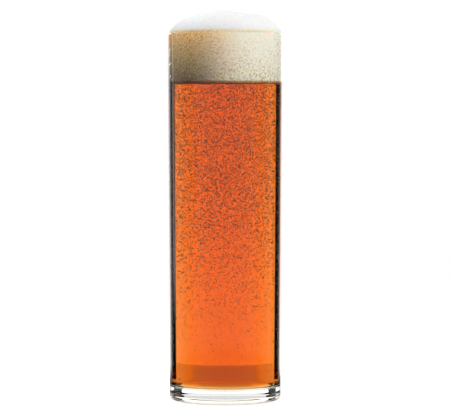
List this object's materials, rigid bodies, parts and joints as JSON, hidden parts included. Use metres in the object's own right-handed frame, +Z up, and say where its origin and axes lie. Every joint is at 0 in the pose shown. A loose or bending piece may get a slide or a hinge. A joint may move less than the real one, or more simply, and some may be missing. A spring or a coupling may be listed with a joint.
{
  "type": "pint of ale",
  "caption": "Tall, straight-sided clear glass filled with amber ale under a thick cream foam head that domes above the lip; stands on its foot.",
  "frame": {"origin": "middle of the foot, at the level of the table the glass stands on", "axes": "+Z up along the glass's axis; +X towards the side where the foam head is fullest, on the right as seen from the front; the front is -Y"},
  "size_m": [0.066, 0.066, 0.222],
  "materials": {
    "clear_glass": "clear, colourless and polished, with a fire-rounded lip and a thick base",
    "ale": "clear amber liquid with many fine bubbles",
    "foam": "matt, off-white to cream froth of very fine bubbles"
  },
  "bodies": {
    "root": {"glass": "clear_glass", "ale": "ale", "foam_head": "foam"}
  },
  "joints": []
}
